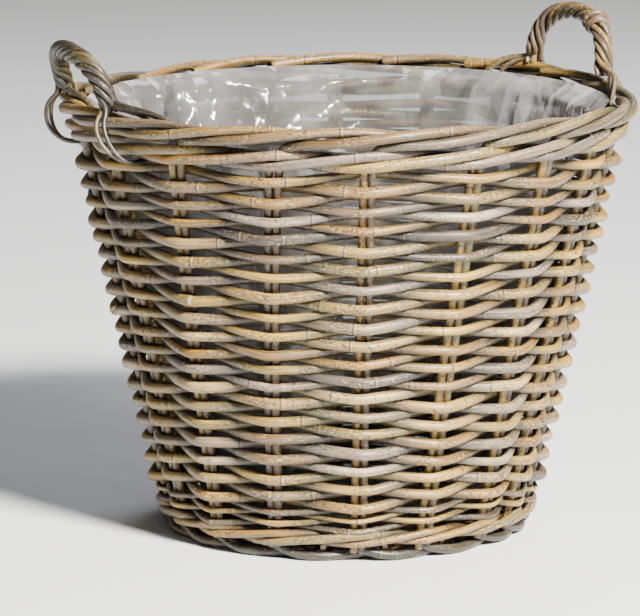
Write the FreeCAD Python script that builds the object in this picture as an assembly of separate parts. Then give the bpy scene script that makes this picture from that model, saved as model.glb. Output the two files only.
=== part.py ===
import FreeCAD, Part
import math
import os

# Round wicker log basket, made of rattan rods over upright stake pairs, with a plastic liner.
# Millimetres. +Z is up, and the origin is the centre of the foot, on the surface it stands on.
# An azimuth is in degrees from the front (-Y), positive towards +X.

# upright stakes, in pairs, on a wall that flares upwards
STAKE_PAIRS = 18
FIRST_STAKE = 2.5
STAKE_STEP = 360.0 / STAKE_PAIRS
STAKE_RADIUS = 4.0
STAKE_SPACING = 8.4
STAKE_BOTTOM = 9.9
STAKE_TOP = 399.0
WALL_RADIUS = 170.0
WALL_SLOPE = 0.2235
CLEARANCE = 0.4

# siding: single rods that pass outside one stake pair and inside the next
THIN_ROWS = 4
THIN_RADIUS = 2.5
THIN_FIRST_Z = 32.6
THIN_PITCH = 5.6
ROWS = 40
ROW_RADIUS = 4.3
ROW_FIRST_Z = 56.8
ROW_LAST_Z = 371.0
PASS_HALF_WIDTH = 7.5
WEAVE_BEND = 22.0
JOIN_GAP = 1.6

# three-rod wales at the foot and under the rim
BOTTOM_WALE_Z = 22.4
BOTTOM_WALE_RADIUS = 3.0
BOTTOM_WALE_RISE = 4.0
TOP_WALE_Z = 390.0
TOP_WALE_RADIUS = 4.0
TOP_WALE_RISE = 5.2
WALE_RODS = 3

# rolled border on the rim: one rod of each stake pair turns along it
RIM_RADIUS = 270.0
RIM_Z = 414.0
BORDER_TWIST_RADIUS = 5.1
BORDER_START_TURN = -75.0
BORDER_TURN_PER_DEGREE = 6.0
BORDER_FIRST = 6.5
BORDER_STEP = 4.0
BORDER_POINTS = 11
BORDER_CORNER_Z = 404.0
BORDER_CORNER_OUT = 269.5
BORDER_CORNER_AZIMUTH = 3.2
BORDER_BEND = 25.0

# foot border: short rods that start outside and end inside, planed flat underneath
FOOT_RADIUS = 4.5
FOOT_Z = 4.0
FOOT_OUTER = 173.1
FOOT_INNER = 163.7
FOOT_OUTER_AZIMUTHS = (3.5, 8.0, 12.0, 16.0)
FOOT_INNER_AZIMUTHS = (22.0, 26.0, 30.0, 34.0)
FOOT_BEND = 40.0

# woven base
BASE_Z = 11.9
BASE_STICK_RADIUS = 3.0
BASE_STICK_END = 171.5
BASE_LAYER_SHIFT = 3.2
BASE_UPPER_STICKS = 5
BASE_UPPER_SPACING = 6.4
BASE_LOWER_STICKS = 4
BASE_LOWER_SPACING = 6.6
BASE_CROSS_HALF = 17.0
BASE_LEVEL_HALF = 24.0
BASE_OPEN_HALF = 39.5
BASE_SPREAD_RADIUS = 60.0
BASE_BEND = 12.0
BINDING_RADIUS = 2.5
BINDING_RISE = 5.85
BINDING_HALVES = (28.0, 35.6)
BINDING_OVERHANG = 1.5
BASE_WEAVE_RADIUS = 3.0
BASE_WEAVE_RISE = 6.35
BASE_WEAVE_FIRST = 64.0
BASE_WEAVE_PITCH = 6.5
BASE_WEAVE_RODS = 15
BASE_WEAVE_INNER_RODS = 7
BASE_PASS_HALF_WIDTH = 3.6
BASE_WEAVE_BEND = 9.0

# handles: a bent core rod with rods twisted round it, left-handed, hooked under the top wale
HANDLE_FOOT_Z = 424.4
HANDLE_CORE_RADIUS = 3.0
HANDLE_ROD_RADIUS = 2.3
HANDLE_TWIST_RADIUS = 5.9
HANDLE_RODS = 6
HANDLE_TURNS = -2.5
HANDLE_STEPS = 32
HANDLE_FINE_STEPS = 400
HANDLE_BEND = 30.0
HOOK_BEND = 5.0
HOOK_SHOULDER = 0.85
LEFT_HANDLE = {
    "feet": (-82.0, -54.5),
    "height": 52.0,
    "squareness": 0.8,
    "lean": 16.0,
    "hooks": ((-84.2, -80.3), (-55.0, -51.9)),
}
RIGHT_HANDLE = {
    "feet": (111.0, 136.0),
    "height": 57.5,
    "squareness": 0.8,
    "lean": 4.0,
    "hooks": ((108.9, 113.2), (133.8, 137.7)),
}

# polythene liner, hanging clear of the weave
LINER_GAP = 19.0
LINER_THICKNESS = 0.8
LINER_FLOOR = 21.7
LINER_TOP = 399.0
LINER_FOLD = 8.0

STRAIGHT_TURN = math.radians(0.2)
RUN_SHARE = 0.45


def stake_azimuth(index):
    return FIRST_STAKE + STAKE_STEP * index


def wall_radius(z):
    """Radius of the stakes' centre line at a height."""
    return WALL_RADIUS + WALL_SLOPE * z


def place(azimuth, radius, z, sideways=0.0):
    """A point at an azimuth and radius, moved sideways along the rim."""
    angle = math.radians(azimuth)
    x = radius * math.sin(angle) + sideways * math.cos(angle)
    y = -radius * math.cos(angle) + sideways * math.sin(angle)
    return FreeCAD.Vector(x, y, z)


def turn_at(before, point, after):
    """Directions back and forward from a point, and the angle that the path turns there."""
    back = (before - point).normalize()
    forward = (after - point).normalize()
    return back, forward, math.pi - back.getAngle(forward)


def drop_straight_points(points):
    kept = [points[0]]
    for i in range(1, len(points) - 1):
        turn = turn_at(kept[-1], points[i], points[i + 1])[2]
        if turn > STRAIGHT_TURN:
            kept.append(points[i])
    kept.append(points[-1])
    return kept


def rod(points, radius, bend, ends=(0, 0), end_bend=0.0):
    """A round rod along straight runs joined by tangent arcs.

    ends counts the points at the start and the finish that turn at end_bend.
    """
    points = drop_straight_points(points)
    edges = []
    start = points[0]
    for i in range(1, len(points) - 1):
        back, forward, turn = turn_at(points[i - 1], points[i], points[i + 1])
        shorter = min((points[i - 1] - points[i]).Length, (points[i + 1] - points[i]).Length)
        half = turn / 2.0
        at_end = i < ends[0] or i >= len(points) - ends[1]
        size = min(end_bend if at_end else bend, RUN_SHARE * shorter / math.tan(half))
        reach = size * math.tan(half)
        arc_start = points[i] + back * reach
        arc_end = points[i] + forward * reach
        inward = (back + forward).normalize()
        arc_middle = points[i] + inward * (size / math.cos(half) - size)
        edges.append(Part.makeLine(start, arc_start))
        edges.append(Part.Arc(arc_start, arc_middle, arc_end).toShape())
        start = arc_end
    edges.append(Part.makeLine(start, points[-1]))
    path = Part.Wire(edges)
    section = Part.Wire([Part.makeCircle(radius, points[0], points[1] - points[0])])
    return path.makePipeShell([section], True, False)


def row_size(row):
    """Height and rod radius of one row of siding."""
    if row < THIN_ROWS:
        return THIN_FIRST_Z + THIN_PITCH * row, THIN_RADIUS
    pitch = (ROW_LAST_Z - ROW_FIRST_Z) / (ROWS - THIN_ROWS - 1)
    return ROW_FIRST_Z + pitch * (row - THIN_ROWS), ROW_RADIUS


def pass_offset(radius):
    """Radial step from the stakes' centre line to a rod that lies on the pair."""
    lean = math.atan(WALL_SLOPE)
    return (STAKE_RADIUS + radius + CLEARANCE) / math.cos(lean)


def siding_row(row):
    """One rod, once round the wall, its two ends meeting inside a stake pair."""
    z, radius = row_size(row)
    offset = pass_offset(radius)
    join = (5 * row + 1) % STAKE_PAIRS
    points = [place(stake_azimuth(join), wall_radius(z) - offset, z, JOIN_GAP / 2)]
    for step in range(STAKE_PAIRS + 1):
        side = -1 if step % 2 == 0 else 1
        azimuth = stake_azimuth(join + step)
        reach = wall_radius(z) + side * offset
        if step > 0:
            points.append(place(azimuth, reach, z, -PASS_HALF_WIDTH))
        if step < STAKE_PAIRS:
            points.append(place(azimuth, reach, z, PASS_HALF_WIDTH))
    points.append(place(stake_azimuth(join), wall_radius(z) - offset, z, -JOIN_GAP / 2))
    return rod(points, radius, WEAVE_BEND)


def wale_rod(index, centre_z, radius, rise):
    """One wale rod: outside two stake pairs while it climbs over the others, then inside one."""
    offset = pass_offset(radius)

    def at(azimuth, side, step_up, sideways=0.0):
        z = centre_z + step_up * rise
        return place(azimuth, wall_radius(z) + side * offset, z, sideways)

    points = [at(stake_azimuth(index), -1, 0, JOIN_GAP / 2)]
    points.append(at(stake_azimuth(index), -1, 0, PASS_HALF_WIDTH))
    for stake in range(index, index + STAKE_PAIRS, WALE_RODS):
        points.append(at(stake_azimuth(stake + 0.5), 0, -1))
        points.append(at(stake_azimuth(stake + 1), 1, -1, -PASS_HALF_WIDTH))
        points.append(at(stake_azimuth(stake + 1), 1, -1, PASS_HALF_WIDTH))
        points.append(at(stake_azimuth(stake + 1.5), 1, 0))
        points.append(at(stake_azimuth(stake + 2), 1, 1, -PASS_HALF_WIDTH))
        points.append(at(stake_azimuth(stake + 2), 1, 1, PASS_HALF_WIDTH))
        points.append(at(stake_azimuth(stake + 2.5), 0, 1))
        points.append(at(stake_azimuth(stake + 3), -1, 0, -PASS_HALF_WIDTH))
        if stake + WALE_RODS < index + STAKE_PAIRS:
            points.append(at(stake_azimuth(stake + 3), -1, 0, PASS_HALF_WIDTH))
    points.append(at(stake_azimuth(index), -1, 0, -JOIN_GAP / 2))
    return rod(points, radius, WEAVE_BEND)


def wale(centre_z, radius, rise):
    return [wale_rod(i, centre_z, radius, rise) for i in range(WALE_RODS)]


def plain_stake(index):
    """The rod of a pair that is cut off above the top wale."""
    azimuth = stake_azimuth(index)
    bottom = place(azimuth, wall_radius(STAKE_BOTTOM), STAKE_BOTTOM, -STAKE_SPACING / 2)
    top = place(azimuth, wall_radius(STAKE_TOP), STAKE_TOP, -STAKE_SPACING / 2)
    return rod([bottom, top], STAKE_RADIUS, BORDER_BEND)


def border_stake(index):
    """The rod of a pair that bends over at the top and runs along the rim as border."""
    azimuth = stake_azimuth(index)
    side = STAKE_SPACING / 2
    points = [place(azimuth, wall_radius(STAKE_BOTTOM), STAKE_BOTTOM, side)]
    points.append(place(azimuth, wall_radius(BORDER_CORNER_Z), BORDER_CORNER_Z, side))
    points.append(place(azimuth + BORDER_CORNER_AZIMUTH, BORDER_CORNER_OUT, BORDER_CORNER_Z))
    for i in range(BORDER_POINTS):
        along = BORDER_FIRST + BORDER_STEP * i
        turn = math.radians(BORDER_START_TURN + BORDER_TURN_PER_DEGREE * along)
        radius = RIM_RADIUS + BORDER_TWIST_RADIUS * math.cos(turn)
        z = RIM_Z + BORDER_TWIST_RADIUS * math.sin(turn)
        points.append(place(azimuth + along, radius, z))
    return rod(points, STAKE_RADIUS, BORDER_BEND)


def foot_border():
    """One short rod per stake pair, level all round, with a flat planed underneath."""
    reach = 2 * FOOT_OUTER
    above = Part.makeBox(2 * reach, 2 * reach, reach, FreeCAD.Vector(-reach, -reach, 0))
    rods = []
    for i in range(STAKE_PAIRS):
        start = stake_azimuth(i)
        points = [place(start + a, FOOT_OUTER, FOOT_Z) for a in FOOT_OUTER_AZIMUTHS]
        points += [place(start + a, FOOT_INNER, FOOT_Z) for a in FOOT_INNER_AZIMUTHS]
        whole = rod(points, FOOT_RADIUS, FOOT_BEND)
        rods.append(whole.common(above).Solids[0])
    return rods


def base_point(along, across, z, swapped):
    """A point of the base cross, whose long arms stand midway between stake pairs."""
    if swapped:
        along, across = across, along
    azimuth = math.degrees(math.atan2(across, along))
    return place(stake_azimuth(0.5) + azimuth, math.hypot(along, across), z)


def base_sticks(count, spacing, shift, swapped):
    """Parallel sticks through the middle of the base that open out into spokes."""
    sticks = []
    for i in range(count):
        place_in_group = i - (count - 1) / 2.0
        across = spacing * place_in_group
        spread = math.radians(STAKE_STEP * place_in_group)
        arm = [
            (BASE_CROSS_HALF, across, BASE_Z + shift),
            (BASE_LEVEL_HALF, across, BASE_Z),
            (BASE_OPEN_HALF, across, BASE_Z),
            (BASE_SPREAD_RADIUS * math.cos(spread), BASE_SPREAD_RADIUS * math.sin(spread), BASE_Z),
            (BASE_STICK_END * math.cos(spread), BASE_STICK_END * math.sin(spread), BASE_Z),
        ]
        points = [base_point(-a, b, z, swapped) for a, b, z in reversed(arm)]
        points += [base_point(a, b, z, swapped) for a, b, z in arm]
        sticks.append(rod(points, BASE_STICK_RADIUS, BASE_BEND))
    return sticks


def base_binding():
    """Two rods round the base cross, one over each group of sticks and under the other."""
    upper = BASE_UPPER_SPACING * (BASE_UPPER_STICKS - 1) / 2 + BASE_STICK_RADIUS + BINDING_OVERHANG
    lower = BASE_LOWER_SPACING * (BASE_LOWER_STICKS - 1) / 2 + BASE_STICK_RADIUS + BINDING_OVERHANG
    rods = []
    for side, half in zip((1, -1), BINDING_HALVES):
        over = BASE_Z + side * BINDING_RISE
        under = BASE_Z - side * BINDING_RISE
        corners = [
            (half, -upper, over),
            (half, upper, over),
            (lower, half, under),
            (-lower, half, under),
            (-half, upper, over),
            (-half, -upper, over),
            (-lower, -half, under),
            (lower, -half, under),
        ]
        points = [base_point(half, JOIN_GAP / 2, over, False)]
        points += [base_point(a, b, z, False) for a, b, z in corners[1:] + corners[:1]]
        points.append(base_point(half, -JOIN_GAP / 2, over, False))
        rods.append(rod(points, BINDING_RADIUS, BASE_WEAVE_BEND))
    return rods


def base_weave(first, count):
    """Rings of rod that pass over one spoke and under the next."""
    rods = []
    for ring in range(first, first + count):
        radius = BASE_WEAVE_FIRST + BASE_WEAVE_PITCH * ring
        points = [place(stake_azimuth(ring + 0.5), radius, BASE_Z - BASE_WEAVE_RISE, JOIN_GAP / 2)]
        for step in range(STAKE_PAIRS + 1):
            side = -1 if step % 2 == 0 else 1
            azimuth = stake_azimuth(ring + step + 0.5)
            z = BASE_Z + side * BASE_WEAVE_RISE
            if step > 0:
                points.append(place(azimuth, radius, z, -BASE_PASS_HALF_WIDTH))
            if step < STAKE_PAIRS:
                points.append(place(azimuth, radius, z, BASE_PASS_HALF_WIDTH))
        points.append(place(stake_azimuth(ring + 0.5), radius, BASE_Z - BASE_WEAVE_RISE, -JOIN_GAP / 2))
        rods.append(rod(points, BASE_WEAVE_RADIUS, BASE_WEAVE_BEND))
    return rods


def handle_arch(handle):
    """The line of a handle's arch, in even steps from its first foot to its second."""
    first, second = handle["feet"]
    fine = []
    for i in range(HANDLE_FINE_STEPS + 1):
        angle = math.pi * i / HANDLE_FINE_STEPS
        rise = math.sin(angle) ** handle["squareness"] if 0 < i < HANDLE_FINE_STEPS else 0.0
        across = math.copysign(abs(math.cos(angle)) ** handle["squareness"], math.cos(angle))
        azimuth = (first + second) / 2 - (second - first) / 2 * across
        radius = RIM_RADIUS + handle["lean"] * rise
        fine.append(place(azimuth, radius, HANDLE_FOOT_Z + handle["height"] * rise))
    reach = [0.0]
    for i in range(HANDLE_FINE_STEPS):
        reach.append(reach[-1] + fine[i].distanceToPoint(fine[i + 1]))
    even = []
    at = 0
    for i in range(HANDLE_STEPS + 1):
        target = reach[-1] * i / HANDLE_STEPS
        while at < HANDLE_FINE_STEPS - 1 and reach[at + 1] < target:
            at += 1
        share = (target - reach[at]) / (reach[at + 1] - reach[at])
        even.append(fine[at] + (fine[at + 1] - fine[at]) * share)
    return even


def handle_core(handle):
    return rod(handle_arch(handle), HANDLE_CORE_RADIUS, HANDLE_BEND)


def hook_points(azimuth):
    """From a handle's foot down outside the rim, under the top wale and up inside."""
    under = (ROW_LAST_Z + ROW_RADIUS + TOP_WALE_Z - TOP_WALE_RISE - TOP_WALE_RADIUS) / 2
    rim_reach = BORDER_TWIST_RADIUS + STAKE_RADIUS + CLEARANCE + HANDLE_ROD_RADIUS
    wale_reach = pass_offset(TOP_WALE_RADIUS) + TOP_WALE_RADIUS + CLEARANCE + HANDLE_ROD_RADIUS
    outside = wall_radius(TOP_WALE_Z) + wale_reach + 2 * CLEARANCE
    inside = wall_radius(TOP_WALE_Z) - wale_reach
    return [
        place(azimuth, RIM_RADIUS + rim_reach * HOOK_SHOULDER, RIM_Z + rim_reach * HOOK_SHOULDER),
        place(azimuth, RIM_RADIUS + rim_reach + CLEARANCE, RIM_Z + STAKE_RADIUS),
        place(azimuth, RIM_RADIUS + rim_reach + CLEARANCE, RIM_Z - STAKE_RADIUS),
        place(azimuth, outside, under),
        place(azimuth, inside, under),
        place(azimuth, inside, TOP_WALE_Z + TOP_WALE_RISE),
        place(azimuth, RIM_RADIUS - rim_reach - CLEARANCE, RIM_Z - STAKE_RADIUS),
        place(azimuth, RIM_RADIUS - rim_reach - CLEARANCE, RIM_Z + STAKE_RADIUS),
    ]


def twisted_points(handle, start_turn):
    """A handle rod's helix round the core."""
    up = FreeCAD.Vector(0, 0, 1)
    arch = handle_arch(handle)
    points = []
    for i in range(HANDLE_STEPS + 1):
        here = arch[i]
        tangent = (arch[min(i + 1, HANDLE_STEPS)] - arch[max(i - 1, 0)]).normalize()
        outward = FreeCAD.Vector(here.x, here.y, 0).normalize()
        outward = (outward - tangent * outward.dot(tangent)).normalize()
        if i == 0:
            tangent = up
        if i == HANDLE_STEPS:
            tangent = up * -1
        sideways = tangent.cross(outward)
        turn = start_turn + 2 * math.pi * HANDLE_TURNS * i / HANDLE_STEPS
        points.append(here + (outward * math.cos(turn) + sideways * math.sin(turn)) * HANDLE_TWIST_RADIUS)
    return points


def handle_rods(handle):
    """Rods twisted round the core; two at each foot hook round the rim and the top wale."""
    spacing = 2 * math.pi / HANDLE_RODS
    first_hooks, second_hooks = handle["hooks"]
    rods = []
    for i in range(HANDLE_RODS):
        points = twisted_points(handle, spacing * (i + 0.5))
        ends = (0, 0)
        if i in (0, HANDLE_RODS - 1):
            azimuth = first_hooks[0] if i == HANDLE_RODS - 1 else first_hooks[1]
            hook = hook_points(azimuth)
            points = list(reversed(hook)) + points[1:]
            ends = (len(hook), 0)
        if i in (HANDLE_RODS // 2 - 1, HANDLE_RODS // 2):
            azimuth = second_hooks[0] if i == HANDLE_RODS // 2 else second_hooks[1]
            hook = hook_points(azimuth)
            points = points[:-1] + hook
            ends = (0, len(hook))
        rods.append(rod(points, HANDLE_ROD_RADIUS, HANDLE_BEND, ends, HOOK_BEND))
    return rods


def liner():
    """An open tub of thin sheet inside the weave."""
    base = wall_radius(LINER_FLOOR) - LINER_GAP
    top = wall_radius(LINER_TOP) - LINER_GAP
    skin = LINER_THICKNESS
    outline = [
        (0, LINER_FLOOR),
        (base - LINER_FOLD, LINER_FLOOR),
        (base + WALL_SLOPE * LINER_FOLD, LINER_FLOOR + LINER_FOLD),
        (top, LINER_TOP),
        (top - skin, LINER_TOP),
        (base + WALL_SLOPE * LINER_FOLD - skin, LINER_FLOOR + LINER_FOLD + skin / 2),
        (base - LINER_FOLD - skin / 2, LINER_FLOOR + skin),
        (0, LINER_FLOOR + skin),
    ]
    points = [FreeCAD.Vector(r, 0, z) for r, z in outline]
    face = Part.Face(Part.makePolygon(points + points[:1]))
    return face.revolve(FreeCAD.Vector(0, 0, 0), FreeCAD.Vector(0, 0, 1), 360)


def build():
    """Every node's name and its solids."""
    nodes = {}
    for i in range(STAKE_PAIRS):
        nodes[f"stake_pair_{i + 1:02d}"] = [plain_stake(i), border_stake(i)]
    for i in range(ROWS // 2):
        nodes[f"weave_round_{i + 1:02d}"] = [siding_row(2 * i), siding_row(2 * i + 1)]
    nodes["bottom_wale"] = wale(BOTTOM_WALE_Z, BOTTOM_WALE_RADIUS, BOTTOM_WALE_RISE)
    nodes["top_wale"] = wale(TOP_WALE_Z, TOP_WALE_RADIUS, TOP_WALE_RISE)
    nodes["foot_border"] = foot_border()
    upper = (BASE_UPPER_STICKS, BASE_UPPER_SPACING, BASE_LAYER_SHIFT, False)
    lower = (BASE_LOWER_STICKS, BASE_LOWER_SPACING, -BASE_LAYER_SHIFT, True)
    nodes["base_sticks_upper"] = base_sticks(*upper)
    nodes["base_sticks_lower"] = base_sticks(*lower)
    nodes["base_binding"] = base_binding()
    nodes["base_weave_inner"] = base_weave(0, BASE_WEAVE_INNER_RODS)
    nodes["base_weave_outer"] = base_weave(BASE_WEAVE_INNER_RODS, BASE_WEAVE_RODS - BASE_WEAVE_INNER_RODS)
    nodes["handle_left_core"] = [handle_core(LEFT_HANDLE)]
    nodes["handle_left_rods"] = handle_rods(LEFT_HANDLE)
    nodes["handle_right_core"] = [handle_core(RIGHT_HANDLE)]
    nodes["handle_right_rods"] = handle_rods(RIGHT_HANDLE)
    nodes["liner"] = [liner()]
    return nodes


def write(nodes):
    os.makedirs("parts", exist_ok=True)
    for name, solids in nodes.items():
        shape = solids[0] if len(solids) == 1 else Part.makeCompound(solids)
        shape.exportStep(f"parts/{name}.step")


write(build())
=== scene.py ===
import math

import bpy
import numpy as np
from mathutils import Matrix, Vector


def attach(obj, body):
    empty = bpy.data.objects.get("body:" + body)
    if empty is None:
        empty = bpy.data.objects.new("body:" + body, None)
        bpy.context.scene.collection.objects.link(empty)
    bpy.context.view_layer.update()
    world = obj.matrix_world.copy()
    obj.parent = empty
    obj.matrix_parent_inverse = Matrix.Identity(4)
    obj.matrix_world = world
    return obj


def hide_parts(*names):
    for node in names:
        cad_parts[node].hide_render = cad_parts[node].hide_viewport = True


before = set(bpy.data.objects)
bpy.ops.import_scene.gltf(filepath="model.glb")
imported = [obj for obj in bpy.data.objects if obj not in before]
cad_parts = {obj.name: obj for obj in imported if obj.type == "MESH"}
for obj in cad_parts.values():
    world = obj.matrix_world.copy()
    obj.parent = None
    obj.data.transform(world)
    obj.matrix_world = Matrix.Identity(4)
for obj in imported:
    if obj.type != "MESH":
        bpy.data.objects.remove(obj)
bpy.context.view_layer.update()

# A wicker log basket: rattan rods woven over pairs of upright stakes, a three-rod wale at the foot
# and under the rim, a rolled border, two twisted handles and a crinkled polythene liner.
# Metres. An azimuth is in degrees from the front (-Y), positive towards +X.

BODY = "root"
MM = 0.001

# the wall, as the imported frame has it
STAKE_PAIRS = 18
FIRST_STAKE = 2.5
STAKE_STEP = 360.0 / STAKE_PAIRS
STAKE_RADIUS = 4.0 * MM
STAKE_GAP = 3.9 * MM
WALL_RADIUS = 170.0 * MM
WALL_SLOPE = 0.2235
RIM_RADIUS = 270.0 * MM
RIM_Z = 414.0 * MM
ROWS = 40

# how finely a rod is drawn: sides, and the distance from one ring of points to the next
AROUND = 14
STEP = 3.5 * MM


# ---------------------------------------------------------------- places and paths

def wall_radius(z):
    """Radius of the stakes' centre line at a height."""
    return WALL_RADIUS + WALL_SLOPE * z


def place(azimuth, radius, z, sideways=0.0):
    """A point at an azimuth and radius, moved sideways along the rim."""
    angle = math.radians(azimuth)
    x = radius * math.sin(angle) + sideways * math.cos(angle)
    y = -radius * math.cos(angle) + sideways * math.sin(angle)
    return np.array((x, y, z))


def smooth_path(points, step=STEP):
    """A cubic B-spline near the points, from the first to the last, sampled evenly."""
    control = np.array(points, float)
    first = 2 * control[0] - control[1]
    last = 2 * control[-1] - control[-2]
    control = np.vstack([first, control, last])
    spans = len(control) - 3
    fine = []
    share = np.linspace(0, 1, 9)[:-1]
    for i in range(spans):
        a, b, c, d = control[i:i + 4]
        t = share[:, None]
        fine.append(((1 - t) ** 3 * a + (3 * t ** 3 - 6 * t ** 2 + 4) * b
                     + (-3 * t ** 3 + 3 * t ** 2 + 3 * t + 1) * c + t ** 3 * d) / 6)
    fine.append(control[-2][None, :])
    fine = np.vstack(fine)
    length = np.concatenate([[0], np.cumsum(np.linalg.norm(np.diff(fine, axis=0), axis=1))])
    count = max(4, int(length[-1] / step))
    even = np.linspace(0, length[-1], count)
    return np.column_stack([np.interp(even, length, fine[:, k]) for k in range(3)])


def slow_noise(rng, count, span, step=STEP):
    """Smooth random values between -1 and 1 along a rod, a new one every span."""
    knots = max(2, int(count * step / span) + 2)
    values = rng.uniform(-1, 1, knots)
    at = np.linspace(0, knots - 1.001, count)
    low = at.astype(int)
    share = at - low
    share = share * share * (3 - 2 * share)
    return values[low] * (1 - share) + values[low + 1] * share


# ---------------------------------------------------------------- rattan rods

STRAW = (0.42, 0.262, 0.048)
OCHRE = (0.30, 0.155, 0.018)
GREY_BROWN = (0.150, 0.098, 0.052)
WHITE_GREY = (0.42, 0.325, 0.215)
OLIVE = (0.205, 0.152, 0.040)
DARK = (0.062, 0.044, 0.030)
MAUVE = (0.250, 0.190, 0.150)
WEAVE_TONES = (
    (STRAW, 0.29), (OCHRE, 0.15), (GREY_BROWN, 0.16), (WHITE_GREY, 0.12), (OLIVE, 0.10), (DARK, 0.08),
    (MAUVE, 0.10),
)
STAKE_TONES = ((STRAW, 0.40), (OCHRE, 0.25), (GREY_BROWN, 0.2), (OLIVE, 0.15))
BORDER_TONES = ((STRAW, 0.22), (OCHRE, 0.36), (GREY_BROWN, 0.22), (OLIVE, 0.14), (DARK, 0.06))
HANDLE_TONES = ((GREY_BROWN, 0.4), (OLIVE, 0.25), (STRAW, 0.2), (DARK, 0.15))
FOOT_TONES = ((DARK, 0.6), (GREY_BROWN, 0.25), (OLIVE, 0.15))
# painted shade on a rod's underside: how much of its colour shows there
UNDERSIDE_SHADE = 0.8

# marks that the rattan material paints over a rod's own tone
BARK = (0.17, 0.135, 0.10)
PALE_CANE = (0.50, 0.37, 0.19)
SPECK = (0.05, 0.034, 0.022)
FLECK = (0.60, 0.47, 0.28)
NODE_RING = (0.045, 0.028, 0.016)
DARK_PITH = (0.22, 0.15, 0.075)
LIGHT_PITH = (0.55, 0.42, 0.25)

# a node, the swollen ring of a rattan stem: how far apart, how long and how swollen
NODE_SPACING = (0.09, 0.24)
NODE_LENGTH = 4.0 * MM
NODE_SWELL = 0.06
NODE_REACH = 12.0 * MM
NODE_FAR = 20.0 * MM


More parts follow.
